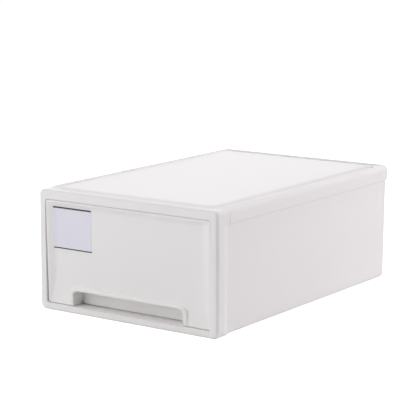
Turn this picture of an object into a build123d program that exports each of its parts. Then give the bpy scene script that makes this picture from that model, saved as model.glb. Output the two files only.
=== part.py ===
"""Stacking storage drawer: an open-topped tub, a snap-on top cover and a front frame make the case,
and a tray with a hollow moulded front slides out of it on two runners.

Millimetres. +Z is up, the drawer opens towards -Y, and the origin is the middle of the case's footprint.
"depth" is measured from the foremost point of the case towards its back.
"""

import math
import os

from build123d import *

# Whole case
case_width = 304.0
case_depth = 463.0
case_height = 173.6
fit_gap = 0.3
cut_overrun = 6.0

# Tub: floor, two sides and back in one moulding
tub_wall = 2.5
tub_floor = 2.6
tub_front_set = 4.3
tub_corner_radius = 10.0
tub_bottom_radius = 4.5
tub_back_draft = 4.0
floor_gap = 3.5
skid_gap = 2.0
skid_width = 4.5
back_rib_thickness = 3.0
back_rib_height = 60.0
back_rib_offset = 62.0
floor_bead_height = 1.0
floor_bead_width = 5.0
floor_bead_margin = 46.0
floor_bead_count = 6

# Top cover: plate with a raised panel, a rim and a skirt on three sides
cover_thickness = 2.8
skirt_thickness = 2.7
skirt_height = 22.0
panel_rise = 2.0
panel_margin = 13.0
panel_back_margin = 20.0
panel_slope = 10.0
panel_corner_radius = 20.0
panel_edge_radius = 30.0
rim_edge_radius = 7.0
cover_corner_radius = 13.0
crest_margin = 8.6
groove_margin = 12.4
groove_depth = 1.2
groove_corner_radius = 14.0
lip_thickness = 1.8
lip_height = 5.5
lip_start = 10.0
cover_rib_thickness = 1.6
cover_rib_height = 4.5
cover_rib_count = 5
cover_rib_side_margin = 70.0
cover_rib_end_margin = 12.0
socket_length = 11.0
socket_width = 11.0
socket_depth = 5.0
socket_wall = 2.0
socket_radius = 2.0
socket_from_side = 21.0
socket_from_back = 22.0

# Front frame: flange round the opening, with a sleeve over the tub's front end
frame_flange = 4.0
frame_post = 11.5
frame_sill = 10.3
frame_head = 14.8
frame_top_depth = 28.0
frame_step_back = 3.0
frame_foot_radius = 9.0
frame_edge_radius = 4.5
frame_step_radius = 4.5
frame_taper_depth = 9.0
frame_taper_edge = 0.8
frame_taper_radius = 10.0
opening_radius = 4.0
sill_depth = 25.0
sill_thickness = 2.4
sill_rib_thickness = 2.0
sill_rib_margin = 52.5
sill_rib_count = 5
tongue_length = 8.0
tongue_thickness = 2.4
tongue_side_margin = 40.0

# Snap noses that hold the frame and the cover on the tub
nose_height = 1.5
nose_length = 6.0
nose_width = 10.0
frame_nose_heights = (45.0, 115.0)
frame_nose_depth = 12.0
cover_nose_shares = (0.2, 0.5, 0.8)
cover_nose_drop = 11.0

# Runner rails on the tub's floor
runner_base_width = 17.0
runner_guide_thickness = 2.4
runner_guide_height = 9.0
runner_start_gap = 2.0
runner_end_gap = 8.0
runner_side_gap = 1.0
runner_nose_radius = 4.0
peg_length = 9.0
peg_width = 4.0
peg_clearance = 0.1
peg_count = 3
peg_end_margin = 40.0

# Rear feet
foot_length = 28.0
foot_width = 16.0
foot_radius = 6.0
foot_from_side = 38.0
foot_from_back = 20.0
foot_peg_length = 12.0
foot_peg_width = 5.0

# Drawer tray
tray_wall = 2.2
tray_floor = 2.4
tray_set_back = 26.0
tray_back_gap = 16.0
tray_side_gap = 3.0
tray_head_gap = 9.5
tray_corner_radius = 12.0
tray_bottom_radius = 5.0
tray_rim_width = 1.5
tray_rim_height = 2.4
sill_clearance = 1.0

# Drawer front: hollow moulding with a dished face and a grip notch
front_gap = 1.0
front_corner_radius = 3.0
front_wall = 2.2
front_skin = 2.4
front_edge_radius = 1.2
face_top_set = 0.4
face_foot_set = 3.0
bead_width = 3.2
dish_depth = 2.4
dish_side_slope = 13.0
dish_head_slope = 3.6
dish_foot_start = 2.0
notch_side_margin = 45.7
notch_height = 21.8
notch_radius = 6.0
notch_rim = 5.5
grip_rise = 12.0
grip_lip = 4.5
grip_radius = 3.0
hook_side_margin = 49.5
hook_width = 16.0
hook_thickness = 2.2
hook_drop = 9.0
hook_rib_drop = 34.0

# Label on the drawer front
label_width = 66.8
label_height = 59.4
label_thickness = 0.4
label_from_side = 11.9
label_from_top = 8.8
label_radius = 0.8
label_foot_gap = 18.3

# Drawer stops, clipped over the tray's side walls
stop_from_back = 44.7
stop_length = 18.0
stop_leg = 13.0
stop_leg_thickness = 1.8
stop_lug_reach = 3.2
stop_lug_height = 8.0
stop_lead = 6.0

# Places that follow from the sizes above
half_width = case_width / 2
rim_z = case_height - panel_rise
plate_z = rim_z - cover_thickness
skirt_z = case_height - skirt_height
sleeve_half = half_width - skirt_thickness
tub_half = sleeve_half - fit_gap
tub_inner_half = tub_half - tub_wall
tub_back = case_depth - skirt_thickness - fit_gap
tub_inner_back = tub_back - tub_wall
tub_top_z = plate_z - fit_gap
floor_z = floor_gap + tub_floor
frame_side_depth = frame_top_depth - frame_step_back
opening_half = half_width - frame_post
opening_top_z = case_height - frame_head
tray_z = frame_sill + sill_clearance
tray_half = opening_half - tray_side_gap
tray_back = case_depth - tray_back_gap
tray_top_z = opening_top_z - tray_head_gap
front_half = opening_half - front_gap
front_low_z = frame_sill + front_gap
front_high_z = opening_top_z - front_gap
front_back = tray_set_back - fit_gap
notch_half = front_half - notch_side_margin
notch_top_z = front_low_z + notch_height
runner_top_z = tray_z - fit_gap
runner_start = sill_depth + runner_start_gap
runner_end = tub_inner_back - runner_end_gap
stop_depth = tray_back - stop_from_back - stop_length
cover_nose_z = rim_z - cover_nose_drop
tongue_half = half_width - tongue_side_margin
foot_depth = case_depth - foot_from_back
foot_x = half_width - foot_from_side
face_run = math.hypot(face_foot_set - face_top_set, front_high_z - front_low_z)
label_low = face_run - label_from_top - label_height
dish_foot_run = label_low - label_foot_gap


def at_depth(depth):
    """Y of a depth behind the front of the case."""
    return depth - case_depth / 2


def slab(x_low, x_high, depth_low, depth_high, z_low, z_high):
    """A box given by its limits across, in depth and in height."""
    middle = Pos((x_low + x_high) / 2, at_depth((depth_low + depth_high) / 2), (z_low + z_high) / 2)
    return middle * Box(x_high - x_low, depth_high - depth_low, z_high - z_low)


def front_plane(depth):
    """Upright plane at a depth, seen from the front: local X runs across and local Y up."""
    return Plane(origin=(0, at_depth(depth), 0), x_dir=(1, 0, 0), z_dir=(0, -1, 0))


def upright_outline(half, z_low, z_high, low_radius, high_radius):
    """Rectangle seen from the front, with its own radius at the low and the high corners."""
    face = Pos(0, (z_low + z_high) / 2) * Rectangle(2 * half, z_high - z_low)
    face = fillet(face.vertices().group_by(Axis.Y)[0], low_radius)
    return fillet(face.vertices().group_by(Axis.Y)[-1], high_radius)


def prism(outline, depth_low, depth_high):
    """Front-view outline carried from one depth to another."""
    return extrude(front_plane(depth_high) * outline, amount=depth_high - depth_low)


def rear_rounded(half, depth_low, depth_high, z_low, z_high, radius):
    """Block whose two rear upright edges are rounded."""
    block = slab(-half, half, depth_low, depth_high, z_low, z_high)
    return fillet(block.edges().filter_by(Axis.Z).group_by(Axis.Y)[-1], radius)


def plan_plate(half, depth_low, depth_high, radius, z):
    """Rounded rectangle lying at a height."""
    middle = Pos(0, at_depth((depth_low + depth_high) / 2), z)
    return middle * RectangleRounded(2 * half, depth_high - depth_low, radius)


def both_sides(solid):
    """The solid and its mirror image on the other side of the case."""
    return [solid, mirror(solid, about=Plane.YZ)]


def snap_nose(depth, z):
    """Wedge on the sleeve's inner face that springs into a window in the tub's right wall."""
    root = sleeve_half + skirt_thickness / 2
    tip = sleeve_half - fit_gap - nose_height
    start, end = at_depth(depth), at_depth(depth + nose_length)
    wedge = make_face(Polyline((root, start), (tip, start), (sleeve_half, end), (root, end), close=True))
    return Pos(0, 0, z - nose_width / 2) * extrude(wedge, amount=nose_width)


def snap_window(depth, z):
    """Window in the tub's right wall that a snap nose springs into."""
    half = nose_width / 2 + fit_gap
    inner, outer = tub_inner_half - cut_overrun, tub_half + cut_overrun
    return slab(inner, outer, depth - fit_gap, depth + nose_length + fit_gap, z - half, z + half)


def cover_nose_depths():
    """Depths of the cover's snap noses along a side."""
    run = case_depth - frame_top_depth
    return [frame_top_depth + share * run - nose_length / 2 for share in cover_nose_shares]


def nose_places():
    """Depth and height of every snap nose on one side of the case."""
    frame = [(frame_nose_depth, z) for z in frame_nose_heights]
    return frame, [(depth, cover_nose_z) for depth in cover_nose_depths()]


def spread(first, last, count):
    """Evenly spaced places from the first to the last."""
    step = (last - first) / (count - 1)
    return [first + step * number for number in range(count)]


def peg_places():
    """Middles of the right runner's pegs on the tub's floor."""
    inner, outer, guide = runner_span()
    first, last = runner_start + peg_end_margin, runner_end - peg_end_margin
    return [((inner + guide) / 2, at_depth(depth)) for depth in spread(first, last, peg_count)]


def peg(x, y, width, length, growth):
    """Square-cornered peg through the tub's floor, or its hole when grown by a clearance."""
    size = Box(width + 2 * growth, length + 2 * growth, tub_floor + 2 * growth)
    return Pos(x, y, floor_gap + tub_floor / 2) * size


def runner_span():
    """Inner and outer limit of the right runner across the case, and its guide's inner face."""
    guide = tray_half + runner_side_gap
    outer = tub_inner_half - tub_bottom_radius + tub_wall
    return outer - runner_base_width, outer, guide


def tub_form(inset, depth_front, z_low, z_high):
    """The tub's outer form, or its inner one when inset by the wall.

    Its back leans out towards the top.
    """
    front, back = at_depth(depth_front), at_depth(tub_back - inset)
    low_back, high_back = [back - tub_back_draft * (1 - z / tub_top_z) for z in (z_low, z_high)]
    side = Polyline((front, z_low), (low_back, z_low), (high_back, z_high), (front, z_high), close=True)
    block = extrude(Plane.YZ * make_face(side), amount=tub_half - inset, both=True)
    upright = block.edges().filter_by(Axis.X, reverse=True).sort_by(Axis.Y)[-2:]
    block = fillet(upright, tub_corner_radius - inset)
    low_edges = block.faces().sort_by(Axis.Z)[0].edges().sort_by(Axis.Y)[1:]
    return fillet(low_edges, tub_bottom_radius - inset)


def tub_underside():
    """Hollow under the floor, inside the skids that the side walls and the back end in."""
    half, back = tub_half - skid_width, tub_back - tub_back_draft - skid_width
    start = frame_side_depth - cut_overrun
    return rear_rounded(half, start, back, -cut_overrun, floor_gap, tub_corner_radius - skid_width)


def make_case_tub():
    """Floor, sides and back, with windows for the snap noses and holes for the pegs."""
    outer_form = tub_form(0, tub_front_set, floor_gap, tub_top_z)
    tub = outer_form + (tub_form(0, frame_side_depth + fit_gap, skid_gap, tub_top_z) - tub_underside())
    tub -= tub_form(tub_wall, -cut_overrun, floor_z, tub_top_z + cut_overrun)
    for place in sum(nose_places(), []):
        for window in both_sides(snap_window(*place)):
            tub -= window
    holes = [peg(x, y, peg_width, peg_length, peg_clearance) for x, y in peg_places()]
    holes.append(peg(foot_x, at_depth(foot_depth), foot_peg_length, foot_peg_width, peg_clearance))
    for hole in holes:
        for placed in both_sides(hole):
            tub -= placed
    inner, outer, guide = runner_span()
    rib_x = back_rib_offset - back_rib_thickness / 2
    rib = slab(rib_x, rib_x + back_rib_thickness, tray_back + fit_gap, tub_back,
               floor_z - tub_floor / 2, floor_z + back_rib_height) & outer_form
    for placed in both_sides(rib):
        tub += placed
    bead_half = inner - floor_bead_width
    first, last = runner_start + floor_bead_margin, runner_end - floor_bead_margin
    for depth in spread(first, last, floor_bead_count):
        tub += slab(-bead_half, bead_half, depth - floor_bead_width / 2, depth + floor_bead_width / 2,
                    floor_z - tub_floor / 2, floor_z + floor_bead_height)
    return tub


def make_top_cover():
    """Plate with a raised panel, a groove and a rim round it, and a skirt that laps the tub's walls."""
    front = frame_top_depth
    cover = rear_rounded(half_width, front, case_depth, skirt_z, rim_z, cover_corner_radius)
    cover = fillet(cover.faces().sort_by(Axis.Z)[-1].edges().sort_by(Axis.Y)[1:], rim_edge_radius)
    cover -= groove_void()
    cover += split(raised_panel(), front_plane(front), keep=Keep.BOTTOM)
    hollow = rear_rounded(sleeve_half, front - cut_overrun, case_depth - skirt_thickness,
                          skirt_z - cut_overrun, plate_z, tub_corner_radius + fit_gap)
    cover -= hollow
    under_half = half_width - panel_margin - panel_slope - cover_thickness
    under = plan_plate(under_half, front + panel_slope + cover_thickness,
                       case_depth - panel_back_margin - panel_slope - cover_thickness,
                       panel_corner_radius - panel_slope, plate_z - cut_overrun)
    cover -= extrude(under, amount=cut_overrun + panel_rise)
    for placed in both_sides(socket_cup()):
        cover += placed
    for placed in both_sides(socket_void()):
        cover -= placed
    cover += cover_lip()
    for rib in cover_ribs():
        cover += rib
    for depth, z in nose_places()[1]:
        for nose in both_sides(snap_nose(depth, z)):
            cover += nose
    return cover


def groove_void():
    """Shallow dish inside the rim's crest, shared by the cover and the frame's top."""
    floor = plan_plate(half_width - groove_margin, groove_margin, case_depth - groove_margin,
                       groove_corner_radius, rim_z - groove_depth)
    mouth = plan_plate(half_width - crest_margin, crest_margin, case_depth - crest_margin,
                       groove_corner_radius + groove_margin - crest_margin, rim_z)
    return loft([floor, mouth], ruled=True)


def raised_panel():
    """The panel, from the groove's floor up, with sloping sides; its front end is on the frame."""
    half, front, back = half_width - panel_margin, panel_margin, case_depth - panel_back_margin
    foot = plan_plate(half, front, back, panel_corner_radius, rim_z - groove_depth)
    head = plan_plate(half - panel_slope, front + panel_slope, back - panel_slope,
                      panel_corner_radius - panel_slope, case_height)
    panel = loft([foot, head], ruled=True)
    return fillet(panel.faces().sort_by(Axis.Z)[-1].edges(), panel_edge_radius)


def socket_place():
    """Middle of the right stacking socket."""
    return half_width - socket_from_side, at_depth(case_depth - socket_from_back)


def socket_cup():
    """Walls under the right stacking socket."""
    x, y = socket_place()
    size = RectangleRounded(socket_length + 2 * socket_wall, socket_width + 2 * socket_wall, socket_radius)
    low = rim_z - socket_depth - socket_wall
    return Pos(x, y, low) * extrude(size, amount=plate_z - low + cover_thickness / 2)


def socket_void():
    """The right stacking socket itself."""
    x, y = socket_place()
    size = RectangleRounded(socket_length, socket_width, socket_radius)
    return Pos(x, y, rim_z - socket_depth) * extrude(size, amount=socket_depth + cut_overrun)


def cover_lip():
    """Lip inside the tub's walls, so that the walls' top edge sits in a channel."""
    half, back = tub_inner_half - fit_gap, tub_inner_back - fit_gap
    start = frame_top_depth + lip_start
    radius = tub_corner_radius - tub_wall - fit_gap
    low, high = plate_z - lip_height, plate_z + cover_thickness / 2
    outer = rear_rounded(half, start, back, low, high, radius)
    inner = rear_rounded(half - lip_thickness, start - cut_overrun, back - lip_thickness,
                         low - cut_overrun, high + cut_overrun, radius - lip_thickness)
    return outer - inner


def cover_ribs():
    """Stiffening ribs under the raised panel."""
    front = frame_top_depth + panel_slope + cover_thickness + cover_rib_end_margin
    back = case_depth - panel_back_margin - panel_slope - cover_thickness - cover_rib_end_margin
    high = case_height - cover_thickness / 2
    low = plate_z + panel_rise - cover_rib_height
    last = half_width - cover_rib_side_margin
    half = cover_rib_thickness / 2
    return [slab(x - half, x + half, front, back, low, high) for x in spread(-last, last, cover_rib_count)]


def make_front_frame():
    """Flange round the drawer opening, with a sleeve over the tub, a sill and a tongue under the cover."""
    outline = upright_outline(half_width, 0, rim_z, frame_foot_radius, rim_edge_radius)
    frame = prism(outline, 0, frame_top_depth)
    frame = fillet(frame.faces().sort_by(Axis.Y)[0].edges(), frame_edge_radius)
    frame -= groove_void()
    frame += split(raised_panel(), front_plane(frame_top_depth), keep=Keep.TOP)
    frame -= frame_step(frame_side_depth, frame_step_radius)
    for taper in both_sides(frame_taper()):
        frame -= taper
    sleeve = upright_outline(sleeve_half, floor_gap - fit_gap, plate_z,
                             tub_bottom_radius + fit_gap, fit_gap)
    frame -= prism(sleeve, frame_flange, frame_top_depth + cut_overrun)
    opening = upright_outline(opening_half, frame_sill, opening_top_z, opening_radius, opening_radius)
    frame -= prism(opening, -cut_overrun, frame_flange + cut_overrun)
    sill_low = frame_sill - sill_thickness
    frame += slab(-opening_half, opening_half, frame_flange / 2, sill_depth, sill_low, frame_sill)
    last = opening_half - sill_rib_margin
    for x in spread(-last, last, sill_rib_count):
        frame += slab(x - sill_rib_thickness / 2, x + sill_rib_thickness / 2, frame_flange / 2, sill_depth,
                      floor_z + fit_gap, frame_sill - sill_thickness / 2)
    tongue_high = plate_z - fit_gap
    tongue_low = tongue_high - tongue_thickness
    root = frame_top_depth - tongue_length
    frame += slab(-tongue_half, tongue_half, root, frame_top_depth + tongue_length,
                  tongue_low, tongue_high)
    frame += slab(-tongue_half, tongue_half, root, frame_top_depth - fit_gap,
                  tongue_low, plate_z + cover_thickness / 2)
    for place in nose_places()[0]:
        for nose in both_sides(snap_nose(*place)):
            frame += nose
    return frame


def frame_step(depth, radius):
    """Everything behind a depth and below the cover's skirt, with a rounded inner corner."""
    front, back = at_depth(depth), at_depth(frame_top_depth + cut_overrun)
    low = -cut_overrun
    outline = Pos((front + back) / 2, (low + skirt_z) / 2) * Rectangle(back - front, skirt_z - low)
    corner = outline.vertices().group_by(Axis.Y)[-1].sort_by(Axis.X)[0]
    outline = fillet(corner, radius)
    return extrude(Plane.YZ * outline, amount=half_width + cut_overrun, both=True)


def frame_taper():
    """What is cut off the right post's outer face so that it runs in towards the tub's wall."""
    start = frame_side_depth - frame_taper_depth
    drop = skirt_thickness - frame_taper_edge
    normal = (frame_taper_depth, drop, 0)
    slope = Plane(origin=(half_width, at_depth(start), 0), x_dir=(0, 0, 1), z_dir=normal)
    return split(frame_step(start, frame_taper_radius), slope, keep=Keep.TOP)


def make_runner():
    """Right runner: a base that carries the tray, a guide beside it and pegs through the tub's floor."""
    inner, outer, guide = runner_span()
    section = Polyline((inner, floor_z), (outer, floor_z), (guide + runner_guide_thickness, runner_top_z),
                       (guide + runner_guide_thickness, runner_top_z + runner_guide_height),
                       (guide, runner_top_z + runner_guide_height), (guide, runner_top_z),
                       (inner, runner_top_z), close=True)
    rail = prism(make_face(section), runner_start, runner_end)
    front_edges = rail.edges().filter_by(Axis.X).group_by(Axis.Y)[0].sort_by(Axis.Z)
    rail = fillet(front_edges[1], runner_nose_radius)
    for x, y in peg_places():
        rail += peg(x, y, peg_width, peg_length, 0)
    return rail


def make_rear_foot():
    """Right rear foot: a pad under the tub with a peg in its floor."""
    pad = extrude(RectangleRounded(foot_length, foot_width, foot_radius), amount=floor_gap)
    placed = Pos(foot_x, at_depth(foot_depth), 0) * pad
    return placed + peg(foot_x, at_depth(foot_depth), foot_peg_length, foot_peg_width, 0)


def tray_form(inset, z_low, z_high):
    """The tray's outer form, or its inner one when inset by the wall."""
    half = tray_half - inset
    block = slab(-half, half, tray_set_back + inset, tray_back - inset, z_low, z_high)
    block = fillet(block.edges().filter_by(Axis.Z), tray_corner_radius - inset)
    return fillet(block.faces().sort_by(Axis.Z)[0].edges(), tray_bottom_radius - inset)


def make_drawer_tray():
    """Open box with a rim that turns out along its sides and back."""
    tray = tray_form(0, tray_z, tray_top_z)
    half, back = tray_half + tray_rim_width, tray_back + tray_rim_width
    rim = rear_rounded(half, tray_set_back + tray_corner_radius, back, tray_top_z - tray_rim_height,
                       tray_top_z, tray_corner_radius + tray_rim_width)
    tray += rim
    return tray - tray_form(tray_wall, tray_z + tray_floor, tray_top_z + cut_overrun)


def face_plane(inset):
    """The drawer front's leaning face, moved inwards by inset.

    Local Y runs up from the front's lower edge.
    """
    lean = (face_foot_set - face_top_set) / face_run
    rise = (front_high_z - front_low_z) / face_run
    origin = (0, at_depth(face_foot_set), front_low_z)
    return Plane(origin=origin, x_dir=(1, 0, 0), z_dir=(0, -rise, -lean)).offset(-inset)


def face_end_view():
    """Plane across the drawer front at its lower edge: local Y runs into the face."""
    face = face_plane(0)
    return Plane(origin=face.origin, x_dir=face.x_dir, z_dir=face.y_dir)


def dish_void():
    """What is taken out of the face between the beads.

    The field slopes in from the sides and the head, and rises in an arc to the front's lower edge.
    The notch's rim is left standing.
    """
    face = face_plane(0)
    half, head = front_half - bead_width, face_run - bead_width
    flare_end = (dish_foot_run, -dish_depth)
    flare = TangentArc(flare_end, (dish_foot_start, 0), tangent=(-1, 0))
    rest = Polyline((dish_foot_start, 0), (dish_foot_start, cut_overrun), (head, cut_overrun), (head, 0),
                    (head - dish_head_slope, -dish_depth), flare_end)
    side_view = Plane(origin=face.origin, x_dir=face.y_dir, z_dir=face.x_dir)
    field = extrude(side_view * make_face([flare, rest]), amount=half, both=True)
    floor_half = half - dish_side_slope
    across = Polyline((-half, -cut_overrun), (half, -cut_overrun), (half, 0), (floor_half, dish_depth),
                      (-floor_half, dish_depth), (-half, 0), close=True)
    field &= extrude(face_end_view() * make_face(across), amount=face_run)
    rim_radius = notch_radius + notch_rim
    rim = upright_outline(notch_half + notch_rim, front_low_z - cut_overrun, notch_top_z + notch_rim,
                          rim_radius, rim_radius)
    return field - prism(rim, -2 * cut_overrun, front_back)


def make_drawer_front():
    """Hollow cap on the tray's front wall, with a dished face, a grip notch and hooks over the rim."""
    radius = front_corner_radius
    outline = upright_outline(front_half, front_low_z, front_high_z, radius, radius)
    block = split(prism(outline, -cut_overrun, front_back), face_plane(0), keep=Keep.BOTTOM)
    block = fillet(block.faces().sort_by(Axis.Y)[0].edges(), front_edge_radius)
    inner_radius = radius - front_wall
    inside = upright_outline(front_half - front_wall, front_low_z + front_wall,
                             front_high_z - front_wall, inner_radius, inner_radius)
    hollow = split(prism(inside, -cut_overrun, front_back + cut_overrun),
                   face_plane(dish_depth + front_skin), keep=Keep.BOTTOM)
    grip_top_z = notch_top_z + grip_rise
    wall_half = notch_half + front_wall
    hollow -= slab(-wall_half, wall_half, -cut_overrun, front_back + 2 * cut_overrun,
                   front_low_z - cut_overrun, grip_top_z + front_wall)
    front = block - hollow - dish_void()
    notch = upright_outline(notch_half, front_low_z - cut_overrun, notch_top_z,
                            notch_radius, notch_radius)
    front -= prism(notch, -cut_overrun, front_back + cut_overrun)
    grip = upright_outline(notch_half, front_low_z, grip_top_z, grip_radius, grip_radius)
    grip = split(prism(grip, -cut_overrun, front_back + cut_overrun),
                 face_plane(dish_depth + grip_lip), keep=Keep.BOTTOM)
    front -= grip
    last_hook = front_half - hook_side_margin
    for x in (-last_hook, 0, last_hook):
        front += rim_hook(x, hollow)
    return front


def rim_hook(x, hollow):
    """Rib inside the drawer front, with a hook over the tray's front wall."""
    half, rib_half = hook_width / 2, hook_thickness / 2
    low, high = tray_top_z + fit_gap, tray_top_z + fit_gap + hook_thickness
    leg = tray_set_back + tray_wall + fit_gap
    rib = slab(x - rib_half, x + rib_half, 0, front_back, high - hook_rib_drop, high) & hollow
    bar = slab(x - half, x + half, front_back - hook_thickness, leg + hook_thickness, low, high)
    drop = slab(x - half, x + half, leg, leg + hook_thickness, high - hook_drop, high)
    return rib + bar + drop


def make_label_card():
    """Card stuck to the dish near its upper left corner, bent to follow the slope at its side."""
    left = -front_half + label_from_side
    right = left + label_width
    knee = -front_half + bead_width + dish_side_slope
    left_depth = dish_depth * (label_from_side - bead_width) / dish_side_slope
    under = [(left, left_depth), (knee, dish_depth), (right, dish_depth)]
    over = [(x, depth - label_thickness) for x, depth in reversed(under)]
    section = make_face(Polyline(*under, *over, close=True))
    card = extrude(face_end_view().offset(label_low) * section, amount=label_height)
    middle = Pos((left + right) / 2, label_low + label_height / 2)
    outline = middle * RectangleRounded(label_width, label_height, label_radius)
    return card & extrude(face_plane(dish_depth) * outline, amount=dish_depth)


def make_drawer_stop():
    """Right stop: a clip over the tray's rim, with a lug that meets the frame's post."""
    rim_side = tray_half + tray_rim_width + fit_gap
    wall_side = tray_half - tray_wall - fit_gap
    top = tray_top_z + fit_gap + stop_leg_thickness
    low = top - stop_leg
    back = stop_depth + stop_length
    clip = slab(wall_side - stop_leg_thickness, rim_side + stop_leg_thickness, stop_depth, back, low, top)
    clip -= slab(wall_side, rim_side, stop_depth - cut_overrun, back + cut_overrun,
                 low - cut_overrun, tray_top_z + fit_gap)
    lug_root = rim_side + stop_leg_thickness / 2
    lug_tip = rim_side + stop_lug_reach
    start, end = at_depth(stop_depth), at_depth(back)
    lead = at_depth(back - stop_lead)
    corners = [(lug_root, start), (lug_tip, start), (lug_tip, lead), (lug_root, end)]
    lug = make_face(Polyline(*corners, close=True))
    return clip + Pos(0, 0, low) * extrude(lug, amount=stop_lug_height)


def make_parts():
    """Every piece under its node's name."""
    runner_right, runner_left = both_sides(make_runner())
    foot_right, foot_left = both_sides(make_rear_foot())
    stop_right, stop_left = both_sides(make_drawer_stop())
    return {
        "case_tub": make_case_tub(),
        "top_cover": make_top_cover(),
        "front_frame": make_front_frame(),
        "runner_left": runner_left,
        "runner_right": runner_right,
        "rear_foot_left": foot_left,
        "rear_foot_right": foot_right,
        "drawer_tray": make_drawer_tray(),
        "drawer_front": make_drawer_front(),
        "label_card": make_label_card(),
        "drawer_stop_left": stop_left,
        "drawer_stop_right": stop_right,
    }


def main():
    """Writes one STEP file for each piece."""
    os.makedirs("parts", exist_ok=True)
    for name, piece in make_parts().items():
        export_step(piece, f"parts/{name}.step")


if __name__ == "__main__":
    main()
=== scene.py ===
"""Looks of a stacking storage drawer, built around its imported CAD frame.

Lengths in the classes are millimetres in the frame of the part: +Z is up, the drawer opens towards -Y.
Meshes are put into Blender in metres, and the studio's places and sizes are metres.
"""

import logging
import math
from dataclasses import dataclass, field, replace
from enum import Enum

import bmesh
import bpy
import numpy as np
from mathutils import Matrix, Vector


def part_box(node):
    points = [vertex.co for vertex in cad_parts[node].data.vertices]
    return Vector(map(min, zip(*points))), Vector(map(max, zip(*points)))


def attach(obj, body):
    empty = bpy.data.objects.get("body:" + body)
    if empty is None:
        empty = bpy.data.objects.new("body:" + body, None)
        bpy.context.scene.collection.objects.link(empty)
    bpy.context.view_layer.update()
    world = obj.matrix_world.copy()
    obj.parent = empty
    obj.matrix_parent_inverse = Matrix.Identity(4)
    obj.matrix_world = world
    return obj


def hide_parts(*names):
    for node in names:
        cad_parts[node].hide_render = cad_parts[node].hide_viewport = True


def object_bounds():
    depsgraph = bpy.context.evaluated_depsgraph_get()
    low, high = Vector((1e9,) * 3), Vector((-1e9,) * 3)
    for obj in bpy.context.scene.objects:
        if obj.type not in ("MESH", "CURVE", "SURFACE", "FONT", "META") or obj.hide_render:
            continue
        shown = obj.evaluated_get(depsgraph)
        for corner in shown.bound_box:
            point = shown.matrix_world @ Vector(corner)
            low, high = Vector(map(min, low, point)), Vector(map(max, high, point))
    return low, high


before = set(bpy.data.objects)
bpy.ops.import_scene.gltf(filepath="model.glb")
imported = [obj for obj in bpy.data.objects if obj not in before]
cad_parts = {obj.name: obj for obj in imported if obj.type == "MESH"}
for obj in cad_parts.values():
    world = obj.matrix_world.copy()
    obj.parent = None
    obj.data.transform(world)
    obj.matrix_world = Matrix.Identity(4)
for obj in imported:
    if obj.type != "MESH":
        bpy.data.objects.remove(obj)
cad_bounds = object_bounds()

LOG = logging.getLogger("stacking_drawer")
MM = 0.001
MERGE_PER_MM = 1000.0
TINY = 1e-6
CARD_MAP = "card"

Colour = tuple[float, float, float]
Vec = tuple[float, float, float]
Array = np.ndarray
Piece = bpy.types.Object
Tree = bpy.types.NodeTree
Node = bpy.types.Node
Socket = bpy.types.NodeSocket


class Body(Enum):
    """The part's moving bodies."""

    CASE = "case"
    DRAWER = "drawer"


class Slot(Enum):
    """Material slots of the part's record."""

    CASE = "case_plastic"
    LABEL = "label_film"


def in_mm(box: tuple[Vec, Vec]) -> tuple[list[float], list[float]]:
    """Args:
        box: its lower and upper corner in metres.

    Returns:
        The two corners.
    """
    low, high = (np.array(corner) / MM for corner in box)
    return low.tolist(), high.tolist()


CASE_LOW, CASE_HIGH = in_mm(cad_bounds)


# Number fields and patches that shape the surfaces


def ease(value: Array) -> Array:
    """Smooth step: 0 below 0, 1 above 1, and 3t^2 - 2t^3 between.

    Args:
        value: the parameter t.

    Returns:
        The eased parameter.
    """
    t = np.clip(value, 0.0, 1.0)
    return t * t * (3.0 - 2.0 * t)


def soft_min(first: Array, second: Array, blend: float) -> Array:
    """Smaller of two fields, with the crease where they meet rounded by a parabola.

    Args:
        first: one field.
        second: the other field.
        blend: difference of the fields within which the crease is rounded.

    Returns:
        min(first, second) less blend/4 times the square of how near the two are.
    """
    near = np.clip(blend - np.abs(first - second), 0.0, None) / blend
    return np.minimum(first, second) - near * near * blend / 4.0


def spaced(*runs: tuple[float, float, int]) -> Array:
    """Places along a line, from runs of evenly spaced ones that follow each other.

    Args:
        runs: start, end and number of steps of each run.

    Returns:
        The places of all runs, each shared end once.
    """
    pieces = [np.linspace(start, end, steps, endpoint=False) for start, end, steps in runs]
    return np.concatenate(pieces + [np.array([runs[-1][1]])])


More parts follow.
